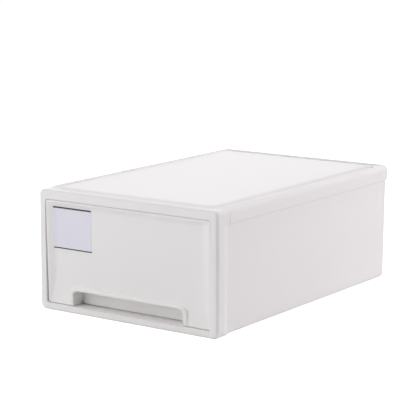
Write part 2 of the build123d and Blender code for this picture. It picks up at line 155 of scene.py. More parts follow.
@dataclass
class Patchwork:
    """Grid patches gathered into one mesh, in which points that patches share become one."""

    points: list[Array] = field(default_factory=list)
    quads: list[Array] = field(default_factory=list)
    count: int = 0

    def add(self, grid: Array, closed: bool = False) -> None:
        """Adds a patch: neighbours on the grid become quads.

        Args:
            grid: array of rows by columns by 3, in millimetres.
            closed: whether the last column joins the first.
        """
        rows, columns = grid.shape[:2]
        index = self.count + np.arange(rows * columns).reshape(rows, columns)
        if closed:
            index = np.concatenate([index, index[:, :1]], axis=1)
        corners = [index[:-1, :-1], index[:-1, 1:], index[1:, 1:], index[1:, :-1]]
        self.points.append(grid.reshape(-1, 3))
        self.quads.append(np.stack(corners, axis=-1).reshape(-1, 4))
        self.count += rows * columns

    def faces(self) -> tuple[Array, list[list[int]]]:
        """Merges points that lie within a thousandth of a millimetre.

        Returns:
            The points in metres, and the faces: quads, and triangles where a quad's edge vanished.
        """
        points = np.concatenate(self.points)
        quads = np.concatenate(self.quads)
        keys = np.round(points * MERGE_PER_MM).astype(np.int64)
        _, first, inverse = np.unique(keys, axis=0, return_index=True, return_inverse=True)
        quads = inverse.reshape(-1)[quads]
        same = quads == np.roll(quads, -1, axis=1)
        whole = quads[same.sum(axis=1) == 0].tolist()
        thin = quads[same.sum(axis=1) == 1]
        gone = np.argmax(same[same.sum(axis=1) == 1], axis=1)
        keep = (gone[:, None] + np.arange(1, 4)[None, :]) % 4
        triangles = np.take_along_axis(thin, keep, axis=1).tolist()
        return points[first] * MM, whole + triangles

    def piece(self, name: str, sharp_angle: float = 40.0) -> Piece:
        """Makes the object: faces pointing outwards, smooth but for edges over an angle.

        Args:
            name: the object's name.
            sharp_angle: edges that turn by more degrees than this stay sharp.

        Returns:
            The object, linked to the scene.
        """
        points, faces = self.faces()
        mesh = bpy.data.meshes.new(name)
        mesh.from_pydata(points.tolist(), [], faces)
        work = bmesh.new()
        work.from_mesh(mesh)
        bmesh.ops.recalc_face_normals(work, faces=work.faces)
        work.to_mesh(mesh)
        work.free()
        mesh.polygons.foreach_set("use_smooth", np.ones(len(mesh.polygons), dtype=bool))
        mesh.set_sharp_from_angle(angle=math.radians(sharp_angle))
        obj = bpy.data.objects.new(name, mesh)
        bpy.context.scene.collection.objects.link(obj)
        return obj


# Shader nodes and the groups that the finishes share


class Kind(Enum):
    """Kinds of socket that the groups have."""

    VECTOR = "NodeSocketVector"
    NUMBER = "NodeSocketFloat"
    COLOUR = "NodeSocketColor"


def feed(value: Socket | float | tuple[float, ...], target: Socket) -> None:
    """Gives an input a link or a plain value.

    Args:
        value: an output to link, or the value to set.
        target: the input.
    """
    if isinstance(value, Socket):
        target.id_data.links.new(value, target)
    else:
        target.default_value = value


def add_math(tree: Tree, operation: str, *values: Socket | float) -> Socket:
    """Adds a math node.

    Args:
        tree: the tree it goes into.
        operation: Blender's name of the operation.
        values: its inputs in order.

    Returns:
        The result's socket.
    """
    node = tree.nodes.new("ShaderNodeMath")
    node.operation = operation
    for target, value in zip(node.inputs, values):
        feed(value, target)
    return node.outputs[0]


def add_vector_math(tree: Tree, operation: str, *values: Socket) -> Socket:
    """Adds a vector math node.

    Args:
        tree: the tree it goes into.
        operation: Blender's name of the operation.
        values: its inputs in order.

    Returns:
        The result's socket: a number for a product or a length, else a vector.
    """
    node = tree.nodes.new("ShaderNodeVectorMath")
    node.operation = operation
    for target, value in zip(node.inputs, values):
        feed(value, target)
    return node.outputs["Value" if operation in ("DOT_PRODUCT", "LENGTH") else "Vector"]


def add_noise(tree: Tree, place: Socket, scale: Socket | float, detail: float) -> Socket:
    """Adds a noise texture.

    Args:
        tree: the tree it goes into.
        place: where it is looked up.
        scale: its scale.
        detail: how many finer layers it has.

    Returns:
        Socket with the noise's value.
    """
    node = tree.nodes.new("ShaderNodeTexNoise")
    feed(place, node.inputs["Vector"])
    feed(scale, node.inputs["Scale"])
    feed(detail, node.inputs["Detail"])
    return node.outputs[0]


def add_stretch(tree: Tree, place: Socket, along: float) -> Socket:
    """Adds a mapping that draws a pattern out along the drawer's travel.

    Args:
        tree: the tree it goes into.
        place: the place to map.
        along: share of the scale that is left along the travel.

    Returns:
        Socket with the mapped place.
    """
    node = tree.nodes.new("ShaderNodeMapping")
    feed((1.0, along, 1.0), node.inputs["Scale"])
    feed(place, node.inputs["Vector"])
    return node.outputs["Vector"]


def add_range(tree: Tree, value: Socket, low: float, high: float) -> Socket:
    """Adds a node that spreads the values between two limits over 0 to 1.

    Args:
        tree: the tree it goes into.
        value: the value to spread.
        low: limit that becomes 0, as does all below it.
        high: limit that becomes 1, as does all above it.

    Returns:
        Socket with the spread value.
    """
    node = tree.nodes.new("ShaderNodeMapRange")
    feed(low, node.inputs["From Min"])
    feed(high, node.inputs["From Max"])
    feed(value, node.inputs["Value"])
    return node.outputs["Result"]


def add_nearness(tree: Tree, inside: Node, measure: Socket) -> Socket:
    """Adds nodes for one less the distance of a measure from the group's level, in the group's widths.

    Args:
        tree: the group's tree.
        inside: the group's input node, with sockets Level and Width.
        measure: socket with the measure.

    Returns:
        Socket with 1 at the level and 0 from one width away.
    """
    off = add_math(tree, "SUBTRACT", measure, inside.outputs["Level"])
    share = add_math(tree, "DIVIDE", add_math(tree, "ABSOLUTE", off), inside.outputs["Width"])
    return add_math(tree, "MAXIMUM", add_math(tree, "SUBTRACT", 1.0, share), 0.0)


def mix_colours(tree: Tree, factor: Socket, ground: Socket, over: Socket | Colour) -> Socket:
    """Lays a colour over another by a factor.

    Args:
        tree: the tree it goes into.
        factor: socket with the share of the colour on top.
        ground: socket with the colour below.
        over: the colour on top.

    Returns:
        The socket of the mixed colour.
    """
    mix = tree.nodes.new("ShaderNodeMix")
    mix.data_type = "RGBA"
    feed(factor, mix.inputs["Factor"])
    feed(ground, mix.inputs["A"])
    feed(over if isinstance(over, Socket) else (*over, 1.0), mix.inputs["B"])
    return mix.outputs["Result"]


PLACE = ("Vector", Kind.VECTOR)
MASK = (("Mask", Kind.NUMBER),)


@dataclass(frozen=True)
class NodeGroup:
    """A shader node group with named sockets, built once. Its first input is the place on the piece."""

    name: str
    inputs: tuple[tuple[str, Kind], ...]
    outputs: tuple[tuple[str, Kind], ...]

    def tree(self) -> Tree:
        """The group's node tree, made and wired when first asked for."""
        ready = bpy.data.node_groups.get(self.name)
        if ready is not None:
            return ready
        tree = bpy.data.node_groups.new(self.name, "ShaderNodeTree")
        for way, sockets in (("INPUT", (PLACE,) + self.inputs), ("OUTPUT", self.outputs)):
            for label, kind in sockets:
                tree.interface.new_socket(name=label, in_out=way, socket_type=kind.value)
        self.wire(tree, tree.nodes.new("NodeGroupInput"), tree.nodes.new("NodeGroupOutput"))
        return tree

    def wire(self, tree: Tree, inside: Node, out: Node) -> None:
        """Joins the group's nodes; each kind of group has its own.

        Args:
            tree: the group's tree.
            inside: its input node.
            out: its output node.
        """
        raise NotImplementedError


class MouldGrain(NodeGroup):
    """Fine spark-eroded grain of a mould: a height for bump, and a roughness that follows it."""

    coarse_scale = 0.22
    fine_weight = 0.6
    middle = 0.5

    def wire(self, tree: Tree, inside: Node, out: Node) -> None:
        """Height is a fine noise plus a coarser one; roughness rises with the coarse one."""
        place, grain = inside.outputs["Vector"], inside.outputs["Grain"]
        fine = add_noise(tree, place, grain, detail=2.0)
        coarse = add_noise(tree, place, add_math(tree, "MULTIPLY", grain, self.coarse_scale), detail=3.0)
        feed(add_math(tree, "MULTIPLY_ADD", fine, self.fine_weight, coarse), out.inputs["Height"])
        centred = add_math(tree, "SUBTRACT", coarse, self.middle)
        rough = add_math(tree, "MULTIPLY_ADD", centred, inside.outputs["Spread"],
                         inside.outputs["Roughness"])
        feed(rough, out.inputs["Roughness"])


class ToneDrift(NodeGroup):
    """Slow drift between two tones of the resin, with faint flow streaks along the depth."""

    def wire(self, tree: Tree, inside: Node, out: Node) -> None:
        """Mixes the tones by a broad noise that is stretched along the drawer's travel."""
        place = add_stretch(tree, inside.outputs["Vector"], along=0.35)
        broad = add_noise(tree, place, inside.outputs["Scale"], detail=4.0)
        share = add_range(tree, broad, low=0.3, high=0.7)
        colour = mix_colours(tree, share, inside.outputs["Tone"], inside.outputs["Shade"])
        feed(colour, out.inputs["Colour"])


class RubMarks(NodeGroup):
    """Faint rub marks along the travel: a mask of thin streaks that come and go."""

    patch_scale = 9.0

    def wire(self, tree: Tree, inside: Node, out: Node) -> None:
        """Thin streaks from a stretched noise, gathered where a broad noise is high."""
        place = inside.outputs["Vector"]
        streak = add_noise(tree, add_stretch(tree, place, along=0.04), inside.outputs["Scale"], detail=1.0)
        where = add_noise(tree, place, self.patch_scale, detail=2.0)
        thin = add_range(tree, streak, low=0.58, high=0.7)
        patch = add_range(tree, where, low=0.45, high=0.7)
        feed(add_math(tree, "MULTIPLY", thin, patch), out.inputs["Mask"])


class PaintedSeamShadeGroup(NodeGroup):
    """Painted shadow along the joint of two pieces, on the case's sides: a darker colour that stands in for
    the shade there.
    """

    def wire(self, tree: Tree, inside: Node, out: Node) -> None:
        """Nearness to the level along the axis, kept at 0 nearer the middle than the side."""
        along = add_vector_math(tree, "DOT_PRODUCT", inside.outputs["Vector"], inside.outputs["Axis"])
        split = tree.nodes.new("ShaderNodeSeparateXYZ")
        feed(inside.outputs["Vector"], split.inputs["Vector"])
        across = add_math(tree, "ABSOLUTE", split.outputs["X"])
        beside = add_math(tree, "GREATER_THAN", across, inside.outputs["Side"])
        mask = add_math(tree, "MULTIPLY", add_nearness(tree, inside, along), beside)
        feed(mask, out.inputs["Mask"])


class PaintedGrooveShadeGroup(NodeGroup):
    """Painted shade in a groove that follows a rounded rectangle in plan: a darker colour that stands in
    for the groove's shadow.
    """

    def wire(self, tree: Tree, inside: Node, out: Node) -> None:
        """Nearness to the level of the distance in plan from the rectangle's core."""
        offset = add_vector_math(tree, "SUBTRACT", inside.outputs["Vector"], inside.outputs["Middle"])
        apart = add_vector_math(tree, "ABSOLUTE", offset)
        past = add_vector_math(tree, "SUBTRACT", apart, inside.outputs["Core"])
        length = add_vector_math(tree, "LENGTH", add_vector_math(tree, "MAXIMUM", past))
        feed(add_nearness(tree, inside, length), out.inputs["Mask"])


GRAIN = MouldGrain(
    "mould_grain",
    (("Grain", Kind.NUMBER), ("Roughness", Kind.NUMBER), ("Spread", Kind.NUMBER)),
    (("Height", Kind.NUMBER), ("Roughness", Kind.NUMBER)))
DRIFT = ToneDrift(
    "tone_drift",
    (("Scale", Kind.NUMBER), ("Tone", Kind.COLOUR), ("Shade", Kind.COLOUR)),
    (("Colour", Kind.COLOUR),))
RUBS = RubMarks("rub_marks", (("Scale", Kind.NUMBER),), MASK)
PAINTED_SEAM_SHADE_GROUP = PaintedSeamShadeGroup(
    "painted_seam_shade",
    (("Axis", Kind.VECTOR), ("Level", Kind.NUMBER), ("Width", Kind.NUMBER), ("Side", Kind.NUMBER)),
    MASK)
PAINTED_GROOVE_SHADE_GROUP = PaintedGrooveShadeGroup(
    "painted_groove_shade",
    (("Middle", Kind.VECTOR), ("Core", Kind.VECTOR), ("Level", Kind.NUMBER), ("Width", Kind.NUMBER)),
    MASK)


def place_group(tree: Tree, group: NodeGroup, place: Socket, **values: float | tuple[float, ...]) -> Node:
    """Places a node group in a material and feeds it the place on the piece.

    Args:
        tree: the material's tree.
        group: the group.
        place: socket with the place on the piece.
        values: values of its other sockets, by their names.

    Returns:
        The group's node.
    """
    node = tree.nodes.new("ShaderNodeGroup")
    node.node_tree = group.tree()
    feed(place, node.inputs["Vector"])
    for label, value in values.items():
        feed(value, node.inputs[label])
    return node


# Finishes


@dataclass(frozen=True)
class PaintedSeamShade:
    """Where a joint's painted shadow lies, and how dark it is."""

    axis: Vec
    level: float
    width: float
    strength: float
    side: float
    # Colour of the painted shadow.
    tint: Colour = (0.55, 0.47, 0.40)

    def mask(self, tree: Tree, place: Socket) -> Socket:
        """Socket with the painted shadow's share, from the seam group."""
        shade = place_group(tree, PAINTED_SEAM_SHADE_GROUP, place, Axis=self.axis, Level=self.level * MM,
                            Width=self.width * MM, Side=self.side * MM)
        return shade.outputs["Mask"]


@dataclass(frozen=True)
class PaintedGrooveShade:
    """Where a groove's painted shade lies along a rounded rectangle in plan, and how dark it is."""

    middle: Vec
    core: Vec
    level: float
    width: float
    strength: float
    # Colour of the painted shade.
    tint: Colour = (0.55, 0.53, 0.53)

    def mask(self, tree: Tree, place: Socket) -> Socket:
        """Socket with the painted shade's share, from the groove group."""
        shade = place_group(tree, PAINTED_GROOVE_SHADE_GROUP, place, Middle=Vector(self.middle) * MM,
                            Core=Vector(self.core) * MM, Level=self.level * MM, Width=self.width * MM)
        return shade.outputs["Mask"]


@dataclass(frozen=True)
class MouldedFinish:
    """A moulded plastic or rubber: two near tones, satin roughness, mould grain, rub marks and any painted
    shades.
    """

    name: str
    tone: Colour
    shade: Colour
    roughness: float
    grain: float = 1800.0
    grain_depth: float = 0.02
    grain_strength: float = 0.5
    spread: float = 0.22
    drift: float = 7.0
    rub: float = 0.0
    rub_scale: float = 420.0
    gloss: float = 0.45
    painted_shades: tuple[PaintedSeamShade | PaintedGrooveShade, ...] = ()

    def material(self) -> bpy.types.Material:
        """The finish's material, made when first asked for."""
        ready = bpy.data.materials.get(self.name)
        if ready is not None:
            return ready
        material = bpy.data.materials.new(self.name)
        material.use_nodes = True
        tree = material.node_tree
        shader = tree.nodes["Principled BSDF"]
        place = tree.nodes.new("ShaderNodeTexCoord").outputs["Object"]
        grain = place_group(tree, GRAIN, place, Grain=self.grain, Roughness=self.roughness,
                            Spread=self.spread)
        rubs = place_group(tree, RUBS, place, Scale=self.rub_scale)
        polish = add_math(tree, "MULTIPLY_ADD", rubs.outputs["Mask"], -self.rub, grain.outputs["Roughness"])
        bump = tree.nodes.new("ShaderNodeBump")
        feed(self.grain_strength, bump.inputs["Strength"])
        feed(self.grain_depth * MM, bump.inputs["Distance"])
        feed(grain.outputs["Height"], bump.inputs["Height"])
        feed(self.colour(tree, place), shader.inputs["Base Color"])
        feed(polish, shader.inputs["Roughness"])
        feed(self.gloss, shader.inputs["Specular IOR Level"])
        feed(bump.outputs["Normal"], shader.inputs["Normal"])
        return material

    def colour(self, tree: Tree, place: Socket) -> Socket:
        """The colour's socket: the drift between the two tones, with the painted shades over it.

        Args:
            tree: the material's tree.
            place: socket with the place on the piece.

        Returns:
            A colour socket.
        """
        drift = place_group(tree, DRIFT, place, Scale=self.drift, Tone=(*self.tone, 1.0),
                            Shade=(*self.shade, 1.0))
        colour = drift.outputs["Colour"]
        for shade in self.painted_shades:
            amount = add_math(tree, "MULTIPLY", shade.mask(tree, place), shade.strength)
            colour = mix_colours(tree, amount, colour, shade.tint)
        return colour


@dataclass(frozen=True)
class PrintedFinish(MouldedFinish):
    """Film with two printed bars, one along its upper and one along its lower edge."""

    ink: Colour = (0.06, 0.06, 0.07)
    upper_bar: float = 0.962
    lower_bar: float = 0.03

    def colour(self, tree: Tree, place: Socket) -> Socket:
        """Ink where the film's own height is over the upper or under the lower share, else the film."""
        film = super().colour(tree, place)
        across = tree.nodes.new("ShaderNodeUVMap")
        across.uv_map = CARD_MAP
        split = tree.nodes.new("ShaderNodeSeparateXYZ")
        feed(across.outputs["UV"], split.inputs["Vector"])
        over = add_math(tree, "GREATER_THAN", split.outputs["Y"], self.upper_bar)
        under = add_math(tree, "LESS_THAN", split.outputs["Y"], self.lower_bar)
        return mix_colours(tree, add_math(tree, "MAXIMUM", over, under), film, self.ink)


COVER_LOW, COVER_HIGH = in_mm(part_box("top_cover"))
SKIRT_HEIGHT = 22.0
SKIRT_OVERHANG = 1.4
SIDE_REACH = 0.965 * COVER_HIGH[0]
# Painted shadow: a dark line on the tub just under the cover's skirt, where the skirt's shade falls.
PAINTED_SKIRT_SHADOW = PaintedSeamShade(axis=(0.0, 0.0, 1.0), level=COVER_HIGH[2] - SKIRT_HEIGHT - SKIRT_OVERHANG,
                  width=1.2, strength=0.28, side=SIDE_REACH)
END_INSET = 0.2
# Painted shade: a dark line on the cover at its joint with the front frame, where the gap's shade falls.
PAINTED_JOINT_SHADE = PaintedSeamShade(axis=(0.0, 1.0, 0.0), level=COVER_LOW[1] + END_INSET,
                 width=1.4, strength=0.6, side=SIDE_REACH)

PANEL_MARGIN = 13.0
PANEL_BACK_MARGIN = 20.0
PANEL_CORNER = 20.0
PANEL_HALF = CASE_HIGH[0] - PANEL_MARGIN
PANEL_FRONT = CASE_LOW[1] + PANEL_MARGIN
PANEL_BACK = CASE_HIGH[1] - PANEL_BACK_MARGIN
GROOVE_INSET = 6.0
ANY_HEIGHT = 1000.0
# Painted shade in the groove round the top panel, darkest a little inside the panel's edge; weaker and
# narrower on the front frame.
PAINTED_PANEL_GROOVE_SHADE = PaintedGrooveShade(
    middle=(0.0, (PANEL_FRONT + PANEL_BACK) / 2, 0.0),
    core=(PANEL_HALF - PANEL_CORNER, (PANEL_BACK - PANEL_FRONT) / 2 - PANEL_CORNER, ANY_HEIGHT),
    level=PANEL_CORNER - GROOVE_INSET, width=8.0, strength=0.27)
PAINTED_FRAME_GROOVE_SHADE = replace(PAINTED_PANEL_GROOVE_SHADE, width=4.5, strength=0.2)

WHITE = MouldedFinish("satin_white", (0.95, 0.937, 0.926), (0.94, 0.926, 0.914), 0.55, rub=0.05)
# The tub, cover and frame carry painted shadow and painted groove shade over the white.
TUB_WHITE = replace(WHITE, name="satin_white_tub", painted_shades=(PAINTED_SKIRT_SHADOW,))
COVER_WHITE = replace(WHITE, name="satin_white_cover", painted_shades=(PAINTED_JOINT_SHADE, PAINTED_PANEL_GROOVE_SHADE))
FRAME_WHITE = replace(WHITE, name="satin_white_frame", painted_shades=(PAINTED_FRAME_GROOVE_SHADE,))
NATURAL = MouldedFinish("natural_white", (0.88, 0.855, 0.83), (0.865, 0.84, 0.81), 0.45, rub=0.08)
SLICK = MouldedFinish("slick_white", (0.84, 0.84, 0.83), (0.81, 0.81, 0.80), 0.36,
                      grain_depth=0.006, rub=0.12)
PAD = MouldedFinish("grey_pad", (0.33, 0.33, 0.33), (0.27, 0.27, 0.27), 0.8, grain=900.0, grain_depth=0.05)
FILM = PrintedFinish("lavender_film", (0.875, 0.862, 0.945), (0.855, 0.842, 0.93), 0.4, grain_depth=0.004)


def dress_nodes(finish: MouldedFinish, *names: str) -> None:
    """Gives CAD nodes that stay a finish.

    Args:
        finish: the finish.
        names: the nodes.
    """
    for name in names:
        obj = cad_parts[name]
        for slot in obj.material_slots:
            slot.material = finish.material()
        LOG.info("node %s wears %s", name, finish.name)


# Pieces that stand for CAD nodes or lie over them


@dataclass(frozen=True)
class FrontSteps:
    """Shares at which the drawer front's rows and columns lie."""

    across: Array
    middle: Array
    below: Array
    above: Array


@dataclass(frozen=True)
class FrontOutline:
    """The drawer front seen from the front: a rounded rectangle with a notch in its lower edge."""

    half: float
    low: float
    high: float
    corner: float
    notch_half: float
    notch_top: float
    notch_corner: float
    flare: float

    def side(self, z: Array) -> Array:
        """Half the width at a height, which grows by the flare from the foot to the top."""
        return self.half + self.flare * (z - self.low) / (self.high - self.low)

    def side_limit(self, z: Array) -> Array:
        """Half the width at a height: the side, less the corner's circle near the ends."""
        reach = np.maximum(self.low + self.corner - z, z - self.high + self.corner)
        reach = np.clip(reach, 0.0, self.corner)
        return self.side(z) - self.corner + np.sqrt(self.corner**2 - reach**2)

    def notch_limit(self, z: Array) -> Array:
        """Half the notch's width at a height, drawn in by its rounded upper corners."""
        reach = np.clip(z - self.notch_top + self.notch_corner, 0.0, self.notch_corner)
        return self.notch_half - self.notch_corner + np.sqrt(self.notch_corner**2 - reach**2)

    def blocks(self, steps: FrontSteps) -> tuple[Array, Array, Array]:
        """Grids of x and z over the left part, the part over the notch and the right part.

        Args:
            steps: shares at which the rows and columns lie.

        Returns:
            Three arrays of rows by columns by 2. The middle one starts at the notch's upper edge.
        """
        below = self.low + steps.below * (self.notch_top - self.low)
        above = self.notch_top + steps.above * (self.high - self.notch_top)
        z = np.concatenate([below, above[1:]])
        outer, inner = self.side_limit(z)[:, None], self.notch_limit(z)[:, None]
        x = -outer + steps.across[None, :] * (outer - inner)
        height = np.broadcast_to(z[:, None], x.shape)
        left = np.stack([x, height], axis=-1)
        right = np.stack([-x, height], axis=-1)[:, ::-1]
        flat = self.notch_limit(above)[:, None]
        mid_x = (2.0 * steps.middle[None, :] - 1.0) * flat
        middle = np.stack([mid_x, np.broadcast_to(above[:, None], mid_x.shape)], axis=-1)
        return left, middle, right

    def loop(self, steps: FrontSteps) -> tuple[Array, Array]:
        """The outline once round, anticlockwise from the lower left corner.

        Args:
            steps: shares at which the points lie.

        Returns:
            The points, and a mask that is true on the notch's edge.
        """
        left, middle, right = self.blocks(steps)
        knee = len(steps.below)
        runs = [left[0, :-1], left[:knee - 1, -1], middle[0, :-1], right[knee - 1:0:-1, 0], right[0, :-1],
                right[:-1, -1], right[-1, :0:-1], middle[-1, :0:-1], left[-1, :0:-1], left[:0:-1, 0]]
        notch = [0, 1, 1, 1, 0, 0, 0, 0, 0, 0]
        mask = np.concatenate([np.full(len(run), flag, dtype=bool) for run, flag in zip(runs, notch)])
        mask[sum(len(run) for run in runs[:4])] = True
        return np.concatenate(runs), mask


@dataclass
class DrawerFront:
    """The drawer front: hollow, with a leaning face, a dished field and a grip notch with a pocket."""

    half: float
    low: float
    high: float
    case_front: float
    corner: float = 3.0
    notch_half: float = 93.8
    notch_height: float = 21.8
    notch_corner: float = 6.0
    top_set: float = 0.4
    foot_set: float = 3.0
    back: float = 25.7
    edge: float = 1.4
    bead: float = 3.2
    flare: float = 0.5
    foot_reach: float = 0.4
    head_reach: float = 0.3
    dish_depth: float = 4.2
    side_run: float = 11.5
    head_run: float = 8.0
    foot_run: float = 60.0
    rim_raise: float = 0.8
    rim_flat: tuple[float, float] = (6.2, 3.2)
    rim_run: tuple[float, float] = (1.9, 1.9)
    lip: float = 5.5
    pocket_rise: float = 5.0
    pocket_corner: float = 3.0
    pocket_step: float = 6.0
    wall: float = 2.2
    inner_corner: float = 1.0
    skin: float = 2.4
    hook_places: tuple[float, ...] = (-90.0, 0.0, 90.0)
    hook_half: float = 8.0
    hook_drops: tuple[float, float, float] = (6.3, 8.5, 15.3)
    hook_reach: tuple[float, float] = (14.0, 28.5)
    hook_chamfer: float = 0.6

    @classmethod
    def from_frame(cls) -> "DrawerFront":
        """Takes the outline from the CAD node that the front stands for.

        Returns:
            A front a little larger than the node, behind the case's own front.
        """
        low, high = in_mm(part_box("drawer_front"))
        return cls(half=high[0], low=low[2] - cls.foot_reach, high=high[2] + cls.head_reach,
                   case_front=CASE_LOW[1])

    @property
    def outline(self) -> FrontOutline:
        """Outline of the face."""
        return FrontOutline(self.half, self.low, self.high, self.corner, self.notch_half,
                            self.low + self.notch_height, self.notch_corner, self.flare)

    @property
    def steps(self) -> FrontSteps:
        """Rows and columns, close together at edges, beads and slopes."""
        width, notch = self.half - self.notch_half, self.notch_height
        rise = self.high - self.low - notch
        slope_end, rim_end, field_start, margin = 22.0, 8.0, 26.0, 1.5
        rim = width - (self.rim_flat[0] + self.rim_run[0] + margin)
        knee, head = notch - 6.0, rise - 14.0
        across = self.shares(width, (2.2, slope_end, 22), (slope_end, rim, 5), (rim, width - self.edge, 14))
        below = self.shares(notch, (2.4, knee, 9), (knee, notch - self.edge, 8))
        above = self.shares(rise, (2.0, rim_end, 12), (rim_end, field_start, 9), (field_start, head, 14),
                            (head, rise - self.edge, 18))
        return FrontSteps(across, np.linspace(0.0, 1.0, 65), below, above)

    def shares(self, length: float, *runs: tuple[float, float, int]) -> Array:
        """Shares of a length that has a rounded edge at both ends.

        Args:
            length: the length.
            runs: start, end and number of steps of each run between the edges.

        Returns:
            The places of the edges' arcs and of the runs, over the length.
        """
        arc = self.edge * (1.0 - np.cos(np.linspace(0.0, math.pi / 2, 6)))
        return np.concatenate([arc, spaced(*runs), length - arc[-2::-1]]) / length

    def face_depth(self, z: Array) -> Array:
        """Depth of the leaning face: a straight line from the foot's set to the top's."""
        share = (z - self.low) / (self.high - self.low)
        return self.foot_set + share * (self.top_set - self.foot_set)

    def dish(self, x: Array, z: Array) -> Array:
        """How far the field lies behind the face.

        The depth is the soft smallest of ramps in from the two sides and parabolas down from the head and
        up from the foot, times a share that rises away from the notch's rim. The rim stands a little proud.

        Args:
            x: places across.
            z: heights.

        Returns:
            Depth behind the leaning face; negative on the rim.
        """
        side = (self.outline.side(z) - self.bead - np.abs(x)) / self.side_run
        drop = np.clip((self.high - self.bead - z) / self.head_run, 0.0, 1.0)
        rise = np.clip((z - self.low) / self.foot_run, 0.0, 1.0)
        head, foot = 1.0 - (1.0 - drop)**2, 1.0 - (1.0 - rise)**2
        share = soft_min(soft_min(side, np.ones_like(x), blend=0.45), np.minimum(head, foot), blend=0.2)
        away = self.rim_share(x, z)
        share = np.clip(share, 0.0, None) * away
        return self.dish_depth * share - self.rim_raise * (1.0 - away)

    def rim_share(self, x: Array, z: Array) -> Array:
        """0 on the notch's rim and 1 outside it, eased along an oval distance from the notch."""
        reach = np.array(self.rim_flat) + np.array(self.rim_run)
        beside = np.clip(np.abs(x) - self.notch_half + self.notch_corner, 0.0, None)
        over = np.clip(z - self.low - self.notch_height + self.notch_corner, 0.0, None)
        q_side = beside / (reach[0] + self.notch_corner)
        q_over = over / (reach[1] + self.notch_corner)
        oval = np.hypot(q_side, q_over)
        flat = (np.array(self.rim_flat) + self.notch_corner) / (reach + self.notch_corner)
        weight = q_over**2 / np.maximum(oval**2, TINY)
        start = flat[0] + weight * (flat[1] - flat[0])
        return ease((oval - start) / (1.0 - start))

    def edge_drop(self, x: Array, z: Array) -> Array:
        """Rounding of the face's edges: a quarter circle of the distance to the outline."""
        outline = self.outline
        to_side = outline.side_limit(z) - np.abs(x)
        to_end = np.minimum(z - self.low, self.high - z)
        in_notch_rows = z <= outline.notch_top + TINY
        beside = np.where(in_notch_rows, np.abs(x) - outline.notch_limit(z), self.half)
        over = np.where(in_notch_rows, self.half, z - outline.notch_top)
        over = np.where(np.abs(x) <= self.notch_half - self.notch_corner + TINY, over, self.half)
        near = np.clip(np.minimum(np.minimum(to_side, to_end), np.minimum(beside, over)), 0.0, self.edge)
        return self.edge - np.sqrt(np.clip(self.edge**2 - (self.edge - near)**2, 0.0, None))

    def place(self, flat: Array, depth: Array) -> Array:
        """Points of the part's frame from front-view places and depths behind the case's front."""
        return np.stack([flat[..., 0], self.case_front + depth, flat[..., 1]], axis=-1)

    def surface(self, x: Array, z: Array) -> Array:
        """Depth of the finished face at places of the front view."""
        return self.face_depth(z) + self.dish(x, z)

    def build(self) -> Piece:
        """Face, walls, grip pocket, hollow back and hooks in one mesh.

        Returns:
            The drawer front's object.
        """
        work = Patchwork()
        steps = self.steps
        for block in self.outline.blocks(steps):
            x, z = block[..., 0], block[..., 1]
            work.add(self.place(block, self.surface(x, z) + self.edge_drop(x, z)))
        rings = [self.place(points, depth) for points, depth in self.wall_rings(steps)]
        work.add(np.stack(rings), closed=True)
        for block in self.inner_outline().blocks(steps):
            work.add(self.place(block, self.face_depth(block[..., 1]) + self.dish_depth + self.skin))
        self.add_pocket_wall(work)
        for x in self.hook_places:
            self.add_hook(work, x)
        return work.piece("drawer_front_shell")

    def inner_outline(self) -> FrontOutline:
        """Outline of the hollow: inside the walls, and clear of the pocket's walls."""
        inset = self.wall
        ceiling = self.low + self.notch_height + self.pocket_rise
        return FrontOutline(self.half - inset, self.low + inset, self.high - inset, self.inner_corner,
                            self.notch_half + inset, ceiling + inset, self.pocket_corner, self.flare)

    def wall_rings(self, steps: FrontSteps) -> list[tuple[Array, Array]]:
        """Rings from the face's edge back along the walls, then forward along the hollow.

        On the notch the rings go back by the lip, step up into the pocket and then back.

        Args:
            steps: shares at which the points lie.

        Returns:
            Front-view points and depths of each ring.
        """
        outline = self.outline
        pocket = replace(outline, notch_top=outline.notch_top + self.pocket_rise,
                         notch_corner=self.pocket_corner)
        face, notch = outline.loop(steps)
        up, _ = pocket.loop(steps)
        rise = np.where(notch[:, None], up, face)
        start = self.surface(face[:, 0], face[:, 1]) + self.edge
        lip = start + self.lip
        back = np.full(len(face), self.back)
        main = [start + share * (back - start) for share in (0.35, 0.55, 0.75)]
        rings = [(face, start), (face, np.where(notch, lip, main[0])),
                 (rise, np.where(notch, lip, main[1])),
                 (rise, np.where(notch, lip + self.pocket_step, main[2])), (rise, back)]
        inner, _ = self.inner_outline().loop(steps)
        floor = self.face_depth(inner[:, 1]) + self.dish_depth + self.skin
        return rings + [(inner, back), (inner, floor)]

    def add_bar(self, work: Patchwork, section: Array, ends: tuple[float, float], fold: int) -> None:
        """Adds a bar: a section in depth and height carried from one place across to another, and closed.

        Args:
            work: the patchwork it goes into.
            section: its corners, each a depth and a height.
            ends: where it starts and ends across the drawer.
            fold: number of corners on the near half of the section, which face those of the far half.
        """
        corners = (2, len(section))
        grid = np.stack([np.broadcast_to(np.array(ends)[:, None], corners),
                         np.broadcast_to(self.case_front + section[:, 0], corners),
                         np.broadcast_to(section[:, 1], corners)], axis=-1)
        work.add(grid, closed=True)
        far = np.minimum(len(section) - 1, 2 * fold - 1 - np.arange(fold))
        for end in grid:
            work.add(np.stack([end[:fold], end[far]]))

    def add_pocket_wall(self, work: Patchwork) -> None:
        """Adds the grip pocket's back wall: a nipped rectangle carried across the notch, into its ends."""
        top = self.outline.notch_top + self.pocket_rise + self.wall / 2
        front, back, nip = self.back - self.wall, self.back, self.hook_chamfer
        section = np.array([(front, top), (front, self.low + nip), (front + nip, self.low),
                            (back, self.low), (back, self.low + nip), (back, top)])
        half = self.notch_half + self.wall / 2
        self.add_bar(work, section, (-half, half), fold=3)

